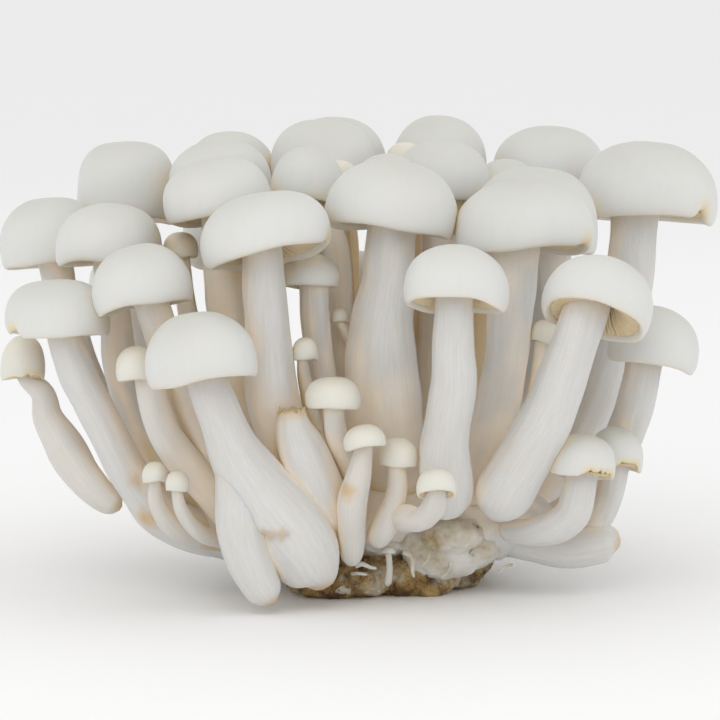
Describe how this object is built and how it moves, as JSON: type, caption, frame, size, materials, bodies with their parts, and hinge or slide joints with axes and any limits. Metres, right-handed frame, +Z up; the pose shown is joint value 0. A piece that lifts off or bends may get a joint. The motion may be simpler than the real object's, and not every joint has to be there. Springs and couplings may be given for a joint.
{
  "type": "white beech mushroom cluster",
  "caption": "Cluster of white beech mushrooms with domed caps, gills and pale stems fused at the foot over a cut face, standing on the cut.",
  "frame": {"origin": "centre of the cut face that the cluster stands on", "axes": "+X along the cluster's width, -Y towards its showier side, +Z up"},
  "size_m": [0.1311, 0.1141, 0.0825],
  "materials": {
    "white_flesh": "satin",
    "young_flesh": "satin",
    "base_flesh": "matte",
    "block_fibre": "matte"
  },
  "bodies": {
    "root": {"growing_block": "block_fibre", "fused_bases": "base_flesh", "left_1": "white_flesh", "left_2": "white_flesh", "left_3": "white_flesh", "left_4": "white_flesh", "left_5": "white_flesh", "left_6": "young_flesh", "left_7": "young_flesh", "left_8": "young_flesh", "front_1": "white_flesh", "front_2": "white_flesh", "front_3": "white_flesh", "front_4": "white_flesh", "centre_1": "white_flesh", "centre_2": "white_flesh", "centre_3": "young_flesh", "centre_4": "white_flesh", "centre_5": "white_flesh", "centre_6": "white_flesh", "right_1": "white_flesh", "right_2": "white_flesh", "right_3": "white_flesh", "right_4": "white_flesh", "young_1": "white_flesh", "young_2": "white_flesh", "young_3": "young_flesh", "young_4": "young_flesh", "young_5": "young_flesh", "young_6": "young_flesh", "young_7": "young_flesh", "young_8": "young_flesh", "young_9": "young_flesh", "young_10": "young_flesh", "young_11": "young_flesh", "back_1": "white_flesh", "back_2": "white_flesh", "back_3": "white_flesh", "back_4": "white_flesh", "back_5": "young_flesh", "back_6": "white_flesh", "back_7": "white_flesh", "back_8": "white_flesh", "back_9": "white_flesh", "back_10": "white_flesh", "back_11": "white_flesh", "back_12": "white_flesh", "back_13": "white_flesh", "back_14": "white_flesh", "back_15": "white_flesh", "back_young_1": "white_flesh", "back_young_2": "young_flesh", "back_young_3": "young_flesh", "back_young_4": "young_flesh", "pin_1": "young_flesh", "broken_stem": "base_flesh", "split_foot": "base_flesh", "side_foot": "base_flesh"}
  },
  "joints": []
}
